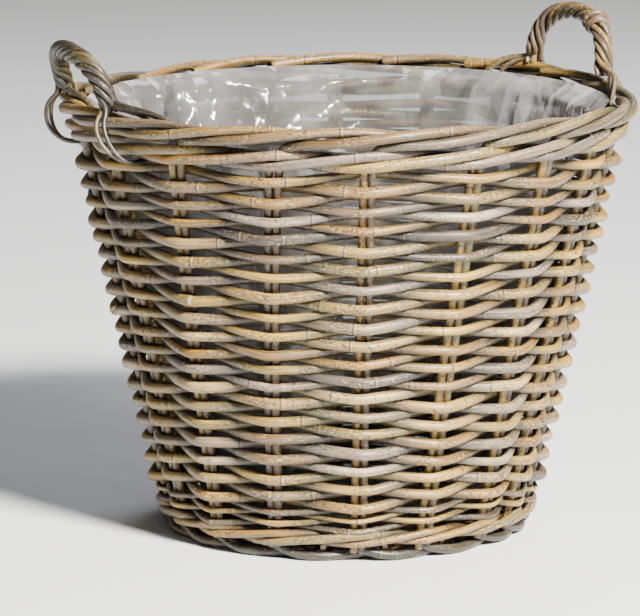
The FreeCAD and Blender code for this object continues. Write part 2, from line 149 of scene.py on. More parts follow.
class Rods:
    """Collects rods into one mesh, with the attributes that the rattan material reads."""

    def __init__(self, seed):
        self.rng = np.random.default_rng(seed)
        self.points = []
        self.faces = []
        self.grain = []
        self.tint = []
        self.shade = []
        self.marks = []
        self.count = 0

    def tone(self, tones):
        """A rod's colour, and the one that it drifts to along its length."""
        colours = np.array([c for c, _ in tones])
        weights = np.array([w for _, w in tones])
        pick = self.rng.choice(len(tones), size=2, p=weights / weights.sum())
        shade = self.rng.uniform(0.8, 1.2, (2, 1))
        return colours[pick] * shade

    def add(self, path, radius, tones=WEAVE_TONES, around=AROUND, shade=1.0):
        """A rod along a path: fluted, a little uneven, with ringed nodes and cut ends.

        The shade is painted shade: how much of the rod's colour shows, or a function of its surface points.
        The underside is painted darker as well.
        """
        rng = self.rng
        path = np.asarray(path)
        count = len(path)
        run = np.concatenate([[0], np.cumsum(np.linalg.norm(np.diff(path, axis=0), axis=1))])
        forward = np.gradient(path, axis=0)
        forward /= np.linalg.norm(forward, axis=1)[:, None]
        side = np.zeros_like(path)
        start = np.cross(forward[0], (0.0, 0.0, 1.0))
        if np.linalg.norm(start) < 0.2:
            start = np.cross(forward[0], (1.0, 0.0, 0.0))
        side[0] = start / np.linalg.norm(start)
        for i in range(1, count):
            s = side[i - 1] - forward[i] * np.dot(side[i - 1], forward[i])
            side[i] = s / np.linalg.norm(s)
        up = np.cross(forward, side)

        angle = np.linspace(0, 2 * math.pi, around, endpoint=False)
        flute = 1 + rng.normal(0, 0.018, around)
        thick = radius * (1 + 0.045 * slow_noise(rng, count, 0.06) + 0.05 * slow_noise(rng, count, 0.3))
        spot = rng.uniform(0.0, NODE_SPACING[1])
        past = np.full(count, 1.0)
        while spot < run[-1]:
            past = np.where(np.abs(run - spot) < np.abs(past), run - spot, past)
            thick += radius * NODE_SWELL * np.exp(-((run - spot) / NODE_LENGTH) ** 2)
            spot += rng.uniform(*NODE_SPACING)
        reach = thick[:, None] * flute[None, :]
        reach *= 1 + 0.012 * rng.normal(0, 1, reach.shape)
        out = (np.cos(angle)[None, :, None] * side[:, None, :]
               + np.sin(angle)[None, :, None] * up[:, None, :])
        skin = path[:, None, :] + out * reach[:, :, None]

        base, drift = self.tone(tones)
        blend = 0.5 + 0.5 * slow_noise(rng, count, 0.22)
        colour = base[None, :] * (1 - blend[:, None]) + drift[None, :] * blend[:, None]
        dim = shade(skin) if callable(shade) else np.full((count, around), shade)
        # painted shade: the rod's underside is painted darker, as if lit from above
        facing_up = np.clip(0.5 + 1.5 * out[:, :, 2], 0, 1)
        dim = dim * (UNDERSIDE_SHADE + (1 - UNDERSIDE_SHADE) * facing_up)
        colour = np.repeat(colour[:, None, :], around, 1)
        offset = rng.uniform(0, 50)
        own = rng.uniform()
        grain = np.stack([
            np.repeat((run + offset)[:, None], around, 1),
            np.cos(angle)[None, :] * reach + own,
            np.sin(angle)[None, :] * reach + offset,
        ], axis=2)

        first = self.count
        self.points.append(skin.reshape(-1, 3))
        self.grain.append(grain.reshape(-1, 3))
        self.tint.append(colour.reshape(-1, 3))
        self.shade.append(dim.ravel())
        marks = np.zeros((count, around, 3))
        marks[:, :, 0] = np.clip(past, -NODE_FAR, NODE_FAR)[:, None]
        marks[:, :, 2] = (np.abs(past) < NODE_REACH)[:, None]
        self.marks.append(marks.reshape(-1, 3))
        self.count += count * around
        ring = np.arange(around)
        nxt = (ring + 1) % around
        for i in range(count - 1):
            a = first + i * around
            b = a + around
            self.faces.extend(zip(a + ring, a + nxt, b + nxt, b + ring))
        self.cap(skin[0], path[0], -forward[0], colour[0, 0], dim[0].mean(), grain[0], first, True)
        last = first + (count - 1) * around
        self.cap(skin[-1], path[-1], forward[-1], colour[-1, 0], dim[-1].mean(), grain[-1], last, False)

    def cap(self, ring, centre, out, colour, dim, grain, edge, flip):
        """A rod's cut end: a bevelled rim and a face that shows the pale pith."""
        around = len(ring)
        bevel = np.linalg.norm(ring[0] - centre) * 0.15
        inner = centre + (ring - centre) * 0.88 + out * bevel
        middle = centre + out * bevel * 1.2
        self.points.append(np.vstack([inner, inner, middle[None, :]]))
        self.grain.append(np.vstack([grain, grain, grain.mean(axis=0)[None, :]]))
        self.tint.append(np.repeat(colour[None, :], 2 * around + 1, axis=0))
        self.shade.append(np.full(2 * around + 1, dim))
        marks = np.zeros((2 * around + 1, 3))
        marks[:, 0] = 1.0
        marks[around:, 1] = 1.0
        self.marks.append(marks)
        first = self.count
        self.count += 2 * around + 1
        hub = first + 2 * around
        for i in range(around):
            j = (i + 1) % around
            rim = (edge + i, first + i, first + j, edge + j)
            face = (first + around + i, hub, first + around + j)
            if not flip:
                rim = rim[::-1]
                face = face[::-1]
            self.faces.append(rim)
            self.faces.append(face)

    def piece(self, name, nodes, slot, material):
        """The collected rods as one object that stands for the CAD nodes."""
        mesh = bpy.data.meshes.new(name)
        mesh.from_pydata(np.vstack(self.points).tolist(), [], [tuple(map(int, f)) for f in self.faces])
        mesh.shade_smooth()
        for label, kind, values in (("grain", "FLOAT_VECTOR", self.grain),
                                    ("marks", "FLOAT_VECTOR", self.marks)):
            layer = mesh.attributes.new(label, kind, "POINT")
            layer.data.foreach_set("vector", np.vstack(values).ravel())
        layer = mesh.attributes.new("tint", "FLOAT_COLOR", "POINT")
        # the tint's alpha carries the painted shade
        colour = np.column_stack([np.vstack(self.tint), np.concatenate(self.shade)])
        layer.data.foreach_set("color", colour.ravel())
        mesh.materials.append(material)
        piece = bpy.data.objects.new(name, mesh)
        bpy.context.scene.collection.objects.link(piece)
        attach(piece, BODY)
        if nodes:
            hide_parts(*nodes)
        return piece


# ---------------------------------------------------------------- materials

def node_tree(name):
    material = bpy.data.materials.new(name)
    material.use_nodes = True
    nodes = material.node_tree.nodes
    links = material.node_tree.links
    shader = nodes["Principled BSDF"]
    return material, nodes, links, shader


def math_node(nodes, links, operation, a, b):
    node = nodes.new("ShaderNodeMath")
    node.operation = operation
    for socket, value in zip(node.inputs, (a, b)):
        if hasattr(value, "links"):
            links.new(value, socket)
        else:
            socket.default_value = value
    return node.outputs[0]


def vector_node(nodes, links, operation, a, b):
    node = nodes.new("ShaderNodeVectorMath")
    node.operation = operation
    for socket, value in zip(node.inputs, (a, b)):
        if hasattr(value, "links"):
            links.new(value, socket)
        else:
            socket.default_value = value
    return node.outputs[0]


def noise_node(nodes, links, vector, scale, detail=3.0, roughness=0.55):
    mapping = nodes.new("ShaderNodeMapping")
    mapping.inputs["Scale"].default_value = scale
    links.new(vector, mapping.inputs["Vector"])
    noise = nodes.new("ShaderNodeTexNoise")
    noise.inputs["Scale"].default_value = 1.0
    noise.inputs["Detail"].default_value = detail
    noise.inputs["Roughness"].default_value = roughness
    links.new(mapping.outputs[0], noise.inputs["Vector"])
    return noise.outputs["Fac"]


def ramp_node(nodes, links, value, stops):
    ramp = nodes.new("ShaderNodeValToRGB")
    elements = ramp.color_ramp.elements
    while len(elements) < len(stops):
        elements.new(0.5)
    for element, (position, grey) in zip(elements, stops):
        element.position = position
        element.color = (grey, grey, grey, 1) if isinstance(grey, float) else (*grey, 1)
    links.new(value, ramp.inputs[0])
    return ramp.outputs["Color"]


def mix_node(nodes, links, kind, factor, a, b):
    mix = nodes.new("ShaderNodeMix")
    mix.data_type = "RGBA"
    mix.blend_type = kind
    if hasattr(factor, "links"):
        links.new(factor, mix.inputs["Factor"])
    else:
        mix.inputs["Factor"].default_value = factor
    for socket, value in ((mix.inputs["A"], a), (mix.inputs["B"], b)):
        if hasattr(value, "links"):
            links.new(value, socket)
        else:
            socket.default_value = (*value, 1)
    return mix.outputs["Result"]


def rattan(name, dirt):
    """Rattan rod: long fibres, patches of bark, specks, dark node rings and pale cut ends.

    It reads three attributes. grain runs along the rod and round it, in metres. tint is the rod's
    tone, with its painted shade as alpha. marks holds the distance past the nearest node, whether the point
    is on a cut face, and whether it is near a node.
    """
    material, nodes, links, shader = node_tree(name)

    def attribute(label):
        node = nodes.new("ShaderNodeAttribute")
        node.attribute_name = label
        return node

    grain = attribute("grain").outputs["Vector"]
    tint_node = attribute("tint")
    tint = tint_node.outputs["Color"]
    marks = nodes.new("ShaderNodeSeparateXYZ")
    links.new(attribute("marks").outputs["Vector"], marks.inputs[0])

    fibres = noise_node(nodes, links, grain, (28, 650, 650), 5.0, 0.65)
    streaks = noise_node(nodes, links, grain, (11, 360, 360), 3.0)
    patches = noise_node(nodes, links, grain, (26, 150, 150), 6.0, 0.7)
    specks = noise_node(nodes, links, grain, (420, 520, 520), 1.0)
    clusters = noise_node(nodes, links, grain, (40, 60, 60), 2.0)

    light = ramp_node(nodes, links, fibres, ((0.36, 0.55), (0.62, 1.25)))
    colour = mix_node(nodes, links, "MULTIPLY", 0.8, tint, light)
    broad = ramp_node(nodes, links, streaks, ((0.34, 0.5), (0.6, 1.25)))
    colour = mix_node(nodes, links, "MULTIPLY", 0.8, colour, broad)
    bark = ramp_node(nodes, links, patches, ((0.46, 0.0), (0.66, 1.0)))
    colour = mix_node(nodes, links, "MIX", math_node(nodes, links, "MULTIPLY", bark, dirt), colour, BARK)
    pale = ramp_node(nodes, links, patches, ((0.30, 1.0), (0.44, 0.0)))
    colour = mix_node(nodes, links, "MIX", math_node(nodes, links, "MULTIPLY", pale, 0.30), colour, PALE_CANE)
    dense = ramp_node(nodes, links, clusters, ((0.40, 0.0), (0.54, 1.0)))
    dots = ramp_node(nodes, links, specks, ((0.56, 0.0), (0.62, 1.0)))
    dots = math_node(nodes, links, "MULTIPLY", dots, dense)
    colour = mix_node(nodes, links, "MIX", math_node(nodes, links, "MULTIPLY", dots, 0.85), colour, SPECK)
    flecks = ramp_node(nodes, links, specks, ((0.33, 1.0), (0.41, 0.0)))
    flecks = math_node(nodes, links, "MULTIPLY", flecks, dense)
    colour = mix_node(nodes, links, "MIX", math_node(nodes, links, "MULTIPLY", flecks, 0.6), colour, FLECK)
    past = math_node(nodes, links, "DIVIDE", marks.outputs["X"], MM)
    near = math_node(nodes, links, "GREATER_THAN", marks.outputs["Z"], 0.5)
    scar = math_node(nodes, links, "ABSOLUTE", math_node(nodes, links, "SUBTRACT", past, 2.4), 0.0)
    scar = math_node(nodes, links, "MULTIPLY", ramp_node(nodes, links, scar, ((0.2, 1.0), (1.0, 0.0))), near)
    colour = mix_node(nodes, links, "MIX", math_node(nodes, links, "MULTIPLY", scar, 0.5), colour, PALE_CANE)
    ring = math_node(nodes, links, "ABSOLUTE", past, 0.0)
    ring = math_node(nodes, links, "MULTIPLY", ramp_node(nodes, links, ring, ((0.3, 1.0), (1.0, 0.0))), near)
    colour = mix_node(nodes, links, "MIX", math_node(nodes, links, "MULTIPLY", ring, 0.9), colour, NODE_RING)
    pith = ramp_node(nodes, links, specks, ((0.35, DARK_PITH), (0.6, LIGHT_PITH)))
    colour = mix_node(nodes, links, "MIX", marks.outputs["Y"], colour, pith)
    # painted shade: the tint's alpha darkens the colour, and cools it where it is darkest
    painted_shade_tint = ramp_node(nodes, links, tint_node.outputs["Alpha"], (
        (0.0, (0.0, 0.0, 0.0)), (0.4, (0.34, 0.37, 0.42)), (1.0, (1.0, 1.0, 1.0))))
    colour = mix_node(nodes, links, "MULTIPLY", 1.0, colour, painted_shade_tint)
    links.new(colour, shader.inputs["Base Color"])

    rough = ramp_node(nodes, links, streaks, ((0.3, 0.30), (0.7, 0.58)))
    links.new(rough, shader.inputs["Roughness"])
    shader.inputs["Specular IOR Level"].default_value = 0.6
    shader.inputs["Coat Weight"].default_value = 0.12
    shader.inputs["Coat Roughness"].default_value = 0.22

    height = math_node(nodes, links, "ADD", math_node(nodes, links, "MULTIPLY", fibres, 0.6),
                       math_node(nodes, links, "MULTIPLY", streaks, 1.0))
    height = math_node(nodes, links, "ADD", height, math_node(nodes, links, "MULTIPLY", ring, -0.5))
    height = math_node(nodes, links, "ADD", height, math_node(nodes, links, "MULTIPLY", dots, -0.4))
    bump = nodes.new("ShaderNodeBump")
    bump.inputs["Strength"].default_value = 0.6
    bump.inputs["Distance"].default_value = 0.0009
    links.new(height, bump.inputs["Height"])
    links.new(bump.outputs["Normal"], shader.inputs["Normal"])
    return material


def facet_node(nodes, links, spot, scale, tilt):
    """The height of a crumpled sheet: cells that each slope their own way."""
    cells = nodes.new("ShaderNodeTexVoronoi")
    cells.inputs["Scale"].default_value = scale
    links.new(spot, cells.inputs["Vector"])
    slope = vector_node(nodes, links, "SUBTRACT", cells.outputs["Color"], (0.5, 0.5, 0.5))
    from_middle = vector_node(nodes, links, "SUBTRACT", spot, cells.outputs["Position"])
    rise = nodes.new("ShaderNodeVectorMath")
    rise.operation = "DOT_PRODUCT"
    links.new(slope, rise.inputs[0])
    links.new(from_middle, rise.inputs[1])
    return math_node(nodes, links, "MULTIPLY", rise.outputs["Value"], tilt)


# where, across the basket, the film lies flat against the weave and is clearest
CLEAR_AT = 0.03
MILK_THIN = (0.10, 0.10, 0.107)
MILK_THICK = (0.24, 0.24, 0.25)
MILK_PAINTED_LIGHT = (0.36, 0.36, 0.385)
# the colour of the painted shadow under the front of the border
PAINTED_SHADOW = (0.012, 0.010, 0.008)


def polythene():
    """Clear film: milky and creased near the rim, clearest in the middle, with painted shade that darkens it
    lower down, a painted shadow under the front of the border and painted light towards +X.
    """
    material, nodes, links, shader = node_tree("polythene_film")
    spot = nodes.new("ShaderNodeTexCoord").outputs["Object"]
    parts = nodes.new("ShaderNodeSeparateXYZ")
    links.new(spot, parts.inputs[0])
    across = parts.outputs["X"]
    height = parts.outputs["Z"]
    cloud = noise_node(nodes, links, spot, (9, 9, 5), 4.0, 0.6)
    tall = vector_node(nodes, links, "MULTIPLY", spot, (1.0, 1.0, 0.5))
    facets = [facet_node(nodes, links, tall, scale, tilt) for scale, tilt in ((26.0, 0.6), (75.0, 0.3))]
    crease = math_node(nodes, links, "ADD", *facets)
    milk = ramp_node(nodes, links, cloud, ((0.35, MILK_THIN), (0.66, MILK_THICK)))
    # painted light: the film is painted lighter towards +X, where its inside lies in shade
    folded = ramp_node(nodes, links, across, ((0.08, 0.0), (0.24, 0.85)))
    milk = mix_node(nodes, links, "MIX", folded, milk, MILK_PAINTED_LIGHT)
    # painted shade: the film's colour is darkened lower down in the basket and is lightest at the rim
    depth = ramp_node(nodes, links, height, (
        (0.03, 0.3), (0.08, 0.07), (0.24, 0.2), (0.34, 0.7), (0.39, 1.0)))
    colour = mix_node(nodes, links, "MULTIPLY", 1.0, milk, depth)
    # painted shadow: the film is darkened under the border along the front
    front = ramp_node(nodes, links, math_node(nodes, links, "MULTIPLY", parts.outputs["Y"], -1.0),
                      ((0.04, 0.0), (0.14, 1.0)))
    under = ramp_node(nodes, links, height, ((0.378, 0.0), (0.388, 0.8)))
    colour = mix_node(nodes, links, "MIX", math_node(nodes, links, "MULTIPLY", front, under),
                      colour, PAINTED_SHADOW)
    links.new(colour, shader.inputs["Base Color"])
    dull = ramp_node(nodes, links, height, ((0.30, 0.60), (0.36, 0.17)))
    links.new(dull, shader.inputs["Roughness"])
    shader.inputs["IOR"].default_value = 1.5
    shader.inputs["Specular IOR Level"].default_value = 0.8
    aside = math_node(nodes, links, "ABSOLUTE", math_node(nodes, links, "SUBTRACT", across, CLEAR_AT), 0.0)
    aside = math_node(nodes, links, "ADD", aside, math_node(nodes, links, "MULTIPLY", cloud, 0.12))
    film = ramp_node(nodes, links, aside, ((0.09, 0.55), (0.15, 0.84), (0.26, 0.93)))
    links.new(film, shader.inputs["Alpha"])
    bump = nodes.new("ShaderNodeBump")
    bump.inputs["Distance"].default_value = 1.0
    rim = ramp_node(nodes, links, height, ((0.30, 0.15), (0.37, 0.9)))
    links.new(rim, bump.inputs["Strength"])
    links.new(crease, bump.inputs["Height"])
    links.new(bump.outputs["Normal"], shader.inputs["Normal"])
    return material


# ---------------------------------------------------------------- the weave

# how far each pair stands from its even place at the top, and how far it leans from foot to top
PAIR_SHIFT = (1.9, 5.0, 3.5, 1.0, -1.2, 0.9, -0.6, 1.1, -1.4, 0.4, 1.3, -0.7, 0.8, -1.1, 0.5, -0.6, 0.6, 3.1)
PAIR_LEAN = (0.8, 2.9, -1.4, 1.0, 0.5, -1.5, 1.2, -0.8, 1.5, -1.0, 0.6, 1.4, -1.2, 1.0, 2.5, 5.0, 7.5, 8.5)
THIN_ROWS = 4
PASS_WIDTH = 5.0 * MM
DIP = 2.9 * MM
LOWEST_ROW = 29.8 * MM
HIGHEST_ROW = 379.0 * MM
OUTSIDE_JOINS = 0.45


def even_azimuth(index):
    return FIRST_STAKE + STAKE_STEP * index


def stake_azimuth(index, z=RIM_Z):
    """A pair's azimuth at a height: spaced a little unevenly by hand, and leaning."""
    whole = index % STAKE_PAIRS
    return even_azimuth(index) + PAIR_SHIFT[whole] + PAIR_LEAN[whole] * (z / RIM_Z - 1)


def sway(azimuth, z):
    """How far the rows rise and fall together round the wall."""
    a = math.radians(azimuth)
    return 1.5 * MM * (math.sin(2 * a + 21 * z) + 0.7 * math.sin(3 * a - 34 * z + 1.0)
                       + 0.6 * math.sin(5 * a + 47 * z + 2.2))


def row_sizes():
    """Height and radius of each row: rods differ, and each sits on the one below."""
    rng = np.random.default_rng(41)
    radii = [rng.uniform(2.5, 3.0) * MM for _ in range(THIN_ROWS)]
    radii += [rng.uniform(3.8, 5.2) * MM for _ in range(ROWS - THIN_ROWS)]
    gap = (HIGHEST_ROW - LOWEST_ROW - 2 * sum(radii)) / ROWS
    rows = []
    z = LOWEST_ROW
    for radius in radii:
        z += radius + gap / 2
        rows.append((z, radius))
        z += radius + gap / 2
    return rows


def siding_rods(row, z, radius, rng):
    """The paths of a row's rods, once round: outside one pair and inside the next.

    A rod sags over each pair that it passes outside and lifts behind the next. The row ends inside
    a pair; some rows also have a join outside one, where a cut end lies over a fresh rod.
    """
    offset = STAKE_RADIUS + radius + 0.1 * MM
    start = (5 * row + 1) % STAKE_PAIRS
    join = int(rng.integers(2, 7)) * 2 + 1 if rng.uniform() < OUTSIDE_JOINS else None
    rods = []
    points = [place(stake_azimuth(start, z), wall_radius(z) - offset, z + DIP, 1.0 * MM)]
    for step in range(STAKE_PAIRS + 1):
        side = -1 if step % 2 == 0 else 1
        azimuth = stake_azimuth(start + step, z)
        here = z - side * DIP * rng.uniform(0.75, 1.25) + sway(azimuth, z) + rng.normal(0, 0.45) * MM
        reach = wall_radius(z) + side * (offset + rng.uniform(0, 1.1) * MM)
        tilt = rng.normal(0, 0.45) * MM
        if step > 0:
            middle = (azimuth + stake_azimuth(start + step - 1, z)) / 2
            between = z + sway(middle, z) + rng.normal(0, 0.35) * MM
            points.append(place(middle, wall_radius(z), between))
            points.append(place(azimuth, reach, here - tilt, -PASS_WIDTH))
        if step == join:
            points.append(place(azimuth, reach, here + tilt, 9.0 * MM))
            rods.append(smooth_path(points))
            points = [place(azimuth, reach - 4.0 * MM, here - 1.5 * MM, 2.0 * MM),
                      place(azimuth, reach - 2.0 * MM, here - 1.0 * MM, 9.0 * MM)]
        elif step < STAKE_PAIRS and step > 0:
            points.append(place(azimuth, reach, here + tilt, PASS_WIDTH))
    points[-1] = place(stake_azimuth(start, z), wall_radius(z) - offset, z + DIP, -1.0 * MM)
    rods.append(smooth_path(points))
    return rods


def painted_crevice_shade(skin):
    """How much of a rod's colour shows: painted shade, dark where rods lie against each other in the wall."""
    depth = np.abs(np.hypot(skin[..., 0], skin[..., 1]) - wall_radius(skin[..., 2]))
    return 0.28 + 0.72 * np.clip((depth - 1.5 * MM) / (7.0 * MM), 0, 1)


def make_siding(material):
    rows = row_sizes()
    for index in range(ROWS // 2):
        rods = Rods(100 + index)
        for row in (2 * index, 2 * index + 1):
            z, radius = rows[row]
            for path in siding_rods(row, z, radius, rods.rng):
                size = radius * rods.rng.uniform(0.95, 1.05)
                rods.add(path, size, shade=painted_crevice_shade)
        rods.piece(f"siding_{index + 1:02d}", [f"weave_round_{index + 1:02d}"], "weave", material)


def wale_path(index, centre_z, radius, rise, rng):
    """One wale rod: outside two pairs while it climbs, then inside one."""
    offset = STAKE_RADIUS + radius

    def at(stake, side, step_up, sideways=0.0):
        low = stake_azimuth(math.floor(stake), centre_z)
        high = stake_azimuth(math.floor(stake) + 1, centre_z)
        azimuth = low + (high - low) * (stake - math.floor(stake))
        z = centre_z + step_up * rise + rng.normal(0, 0.35) * MM
        return place(azimuth, wall_radius(z) + side * offset, z + sway(azimuth, centre_z) * 0.4, sideways)

    points = [at(index, -1, 0, 1 * MM), at(index, -1, 0, PASS_WIDTH)]
    for stake in range(index, index + STAKE_PAIRS, 3):
        points.append(at(stake + 0.5, -0.1, -1))
        points.append(at(stake + 1, 1, -1, -PASS_WIDTH))
        points.append(at(stake + 1, 1, -0.9, PASS_WIDTH))
        points.append(at(stake + 1.5, 1.25, 0))
        points.append(at(stake + 2, 1, 0.9, -PASS_WIDTH))
        points.append(at(stake + 2, 1, 1, PASS_WIDTH))
        points.append(at(stake + 2.5, -0.1, 1))
        points.append(at(stake + 3, -1, 0, -PASS_WIDTH))
        if stake + 3 < index + STAKE_PAIRS:
            points.append(at(stake + 3, -1, 0, PASS_WIDTH))
    points.append(at(index, -1, 0, -1 * MM))
    return smooth_path(points)


def make_wales(material):
    for name, seed, z, radius, rise in (
        ("bottom_wale", 210, 22.0 * MM, 3.6 * MM, 4.2 * MM),
        ("top_wale", 226, 393.5 * MM, 4.7 * MM, 5.4 * MM),
    ):
        rods = Rods(seed)
        for index in range(3):
            size = radius * rods.rng.uniform(0.93, 1.07)
            path = wale_path(index, z, size, rise, rods.rng)
            rods.add(path, size, shade=painted_crevice_shade)
        rods.piece(f"{name}_rods", [name], "wale", material)


# ---------------------------------------------------------------- stakes and rim

BORDER_Z = 414.5 * MM
BORDER_TWIST = 5.7 * MM
BORDER_RADIUS = 4.75 * MM
BORDER_START_TURN = -132.0
BORDER_TURN_RATE = 6.0


def make_stakes(material):
    """Each pair: one rod cut off above the wale, one that bends over into the rolled border."""
    for index in range(STAKE_PAIRS):
        rods = Rods(300 + index)
        rng = rods.rng
        lean = rng.normal(0, 1.2) * MM
        for side in (-1, 1):
            radius = STAKE_RADIUS * rng.uniform(0.92, 1.06)
            points = []
            foot = rng.uniform(8.0, 11.5)
            for z in np.linspace(foot, 398.0, 9) * MM:
                sideways = side * STAKE_GAP + lean * (z / 0.4) + rng.normal(0, 0.4) * MM
                reach = wall_radius(z) + rng.normal(0, 0.2) * MM
                points.append(place(stake_azimuth(index, z), reach, z, sideways))
            if side < 0:
                path = smooth_path(points)
                # painted shade: the cut-off stake's colour is darkened, as in the shadow of the rods over it
                rods.add(path, radius, STAKE_TONES, shade=0.7)
            else:
                path = smooth_path(border_points(points, index, rng))
                size = radius + (BORDER_RADIUS - radius) * np.clip((path[:, 2] - 0.39) / 0.02, 0, 1)
                rods.add(path, size * rng.uniform(0.94, 1.06), BORDER_TONES, shade=border_painted_shade)
        rods.piece(f"stakes_{index + 1:02d}", [f"stake_pair_{index + 1:02d}"], "stakes", material)


def border_painted_shade(skin):
    """Painted shade: dark low down and in the middle of the rolled border, clear on its outside."""
    across = np.hypot(skin[..., 0], skin[..., 1]) - RIM_RADIUS
    reach = np.hypot(across, skin[..., 2] - BORDER_Z)
    rolled = 0.22 + 0.66 * np.clip((reach - 4.0 * MM) / (6.0 * MM), 0, 1)
    return np.where(skin[..., 2] > 0.402, rolled, 0.7)


def border_points(points, index, rng):
    """The top of a stake bent along the rim, turning round its neighbours to a cut end."""
    azimuth = stake_azimuth(index)
    points = points[:-1]
    points.append(place(azimuth, 0.2595, 0.4005, STAKE_GAP))
    points.append(place(azimuth + 2.0, 0.2645, 0.4065))
    length = rng.uniform(52, 56)
    lead = rng.normal(0, 5)
    shift = azimuth - even_azimuth(index)
    for along in np.arange(5.5 + max(shift, 0.0) * 0.8, length, 4.0):
        turn = math.radians(BORDER_START_TURN + lead + BORDER_TURN_RATE * along)
        twist = BORDER_TWIST * rng.uniform(0.94, 1.08)
        radius = RIM_RADIUS + twist * math.cos(turn)
        z = BORDER_Z + twist * math.sin(turn)
        here = even_azimuth(index) + along
        points.append(place(here, radius, z + 1.2 * sway(here, 0.41)))
    return points


# ---------------------------------------------------------------- foot and base

def make_foot(material):
    """Short rods that come down from under the wale, dip to the floor and cross each other."""
    rods = Rods(400)
    for index in range(STAKE_PAIRS):
        start = stake_azimuth(index, 0.0)
        radius = rods.rng.uniform(4.2, 4.7) * MM
        points = [place(start + along, reach * MM, height * MM) for along, reach, height in (
            (-1.0, 171.0, 13.5), (3.0, 174.0, 9.5), (8.0, 175.5, 5.4), (13.0, 175.0, 4.6), (18.0, 171.5, 4.6),
            (23.0, 166.5, 4.8), (28.0, 164.5, 5.2), (34.0, 163.5, 7.5))]
        # painted shade: the foot rods' colour is darkened, as in shadow
        rods.add(smooth_path(points), radius, FOOT_TONES, shade=0.5)
    rods.piece("foot_rods", ["foot_border"], "wale", material)


BASE_Z = 11.9 * MM


def base_point(along, across, z, swapped):
    if swapped:
        along, across = across, along
    azimuth = math.degrees(math.atan2(across, along))
    return place(FIRST_STAKE + STAKE_STEP / 2 + azimuth, math.hypot(along, across) * MM, z)


def make_base(material):
    for name, count, spacing, shift, swapped in (
        ("base_sticks_upper", 5, 6.4, 3.2, False),
        ("base_sticks_lower", 4, 6.6, -3.2, True),
    ):
        rods = Rods(430 + count)
        for i in range(count):
            group = i - (count - 1) / 2.0
            across = spacing * group
            spread = math.radians(STAKE_STEP * group)
            arm = [(17, across, BASE_Z + shift * MM), (24, across, BASE_Z), (39.5, across, BASE_Z)]
            for reach in (60, 95, 130, 168.5):
                arm.append((reach * math.cos(spread), reach * math.sin(spread), BASE_Z))
            points = [base_point(-a, b, z, swapped) for a, b, z in reversed(arm)]
            points += [base_point(a, b, z, swapped) for a, b, z in arm]
            rods.add(smooth_path(points), rods.rng.uniform(2.8, 3.1) * MM, STAKE_TONES, 10)
        rods.piece(f"{name}_rods", [name], "base", material)

    rods = Rods(440)
    for side, half in ((1, 28.0), (-1, 35.6)):
        over = BASE_Z + side * 5.85 * MM
        under = BASE_Z - side * 5.85 * MM
        upper, lower = 17.3, 14.4
        ring = [(half, -upper, over), (half, upper, over), (lower, half, under), (-lower, half, under),
                (-half, upper, over), (-half, -upper, over), (-lower, -half, under), (lower, -half, under)]
        points = [base_point(half, 0.5, over, False)]
        points += [base_point(a, b, z, False) for a, b, z in ring[1:] + ring[:1]]
        points.append(base_point(half, -0.5, over, False))
        rods.add(smooth_path(points), 2.5 * MM, WEAVE_TONES, 10)
    rods.piece("base_binding_rods", ["base_binding"], "base", material)

    for name, rings in (("base_weave_inner", range(0, 7)), ("base_weave_outer", range(7, 15))):
        rods = Rods(450 + len(rings))
        for ring in rings:
            radius = (64.0 + 6.5 * ring) * MM
            points = []
            for step in range(STAKE_PAIRS + 1):
                side = -1 if step % 2 == 0 else 1
                azimuth = FIRST_STAKE + STAKE_STEP * (ring + step + 0.5)
                z = BASE_Z + side * 6.1 * MM + rods.rng.normal(0, 0.2) * MM
                wide = 3.4 * MM
                if step > 0:
                    points.append(place(azimuth, radius, z, -wide if step < STAKE_PAIRS else -1 * MM))
                if step < STAKE_PAIRS:
                    points.append(place(azimuth, radius, z, wide if step > 0 else 1 * MM))
            rods.add(smooth_path(points), rods.rng.uniform(2.8, 3.15) * MM, WEAVE_TONES, 10)
        rods.piece(f"{name}_rods", [name], "base", material)


# ---------------------------------------------------------------- handles

# feet and hooks are azimuths, and slant and tails are how far the hooks and the tails run sideways
# shade is painted shade, how much of a handle's colour shows: the left handle is painted dark, as in shadow
HANDLES = {
    "left": {
        "feet": (-81.5, -54.5), "height": 50.0 * MM, "squareness": 0.85, "lean": 13.0 * MM,
        "hooks": (-82.4, -53.4), "slant": (0.8, 5.0), "tails": (12.0, 18.0), "shade": 0.28, "seed": 500,
    },
    "right": {
        "feet": (111.0, 136.0), "height": 57.5 * MM, "squareness": 0.8, "lean": 4.0 * MM,
        "hooks": (111.0, 136.0), "slant": (-3.0, 3.0), "tails": (-20.0, 11.0), "shade": 0.8, "seed": 510,
    },
}
HANDLE_FOOT_Z = 425.5 * MM
HANDLE_STEPS = 44
HANDLE_TWIST = 6.4 * MM
HANDLE_TURNS = -2.6


def handle_arch(handle):
    """The line of a handle's arch, in even steps from its first foot to its second."""
    first, second = handle["feet"]
    square = handle["squareness"]
    fine = []
    for angle in np.linspace(0, math.pi, 400):
        rise = max(math.sin(angle), 0.0) ** square
        across = math.copysign(abs(math.cos(angle)) ** square, math.cos(angle))
        azimuth = (first + second) / 2 - (second - first) / 2 * across
        radius = RIM_RADIUS + handle["lean"] * rise
        fine.append(place(azimuth, radius, HANDLE_FOOT_Z + handle["height"] * rise))
    fine = np.array(fine)
    reach = np.concatenate([[0], np.cumsum(np.linalg.norm(np.diff(fine, axis=0), axis=1))])
    even = np.linspace(0, reach[-1], HANDLE_STEPS + 1)
    return np.column_stack([np.interp(even, reach, fine[:, k]) for k in range(3)])


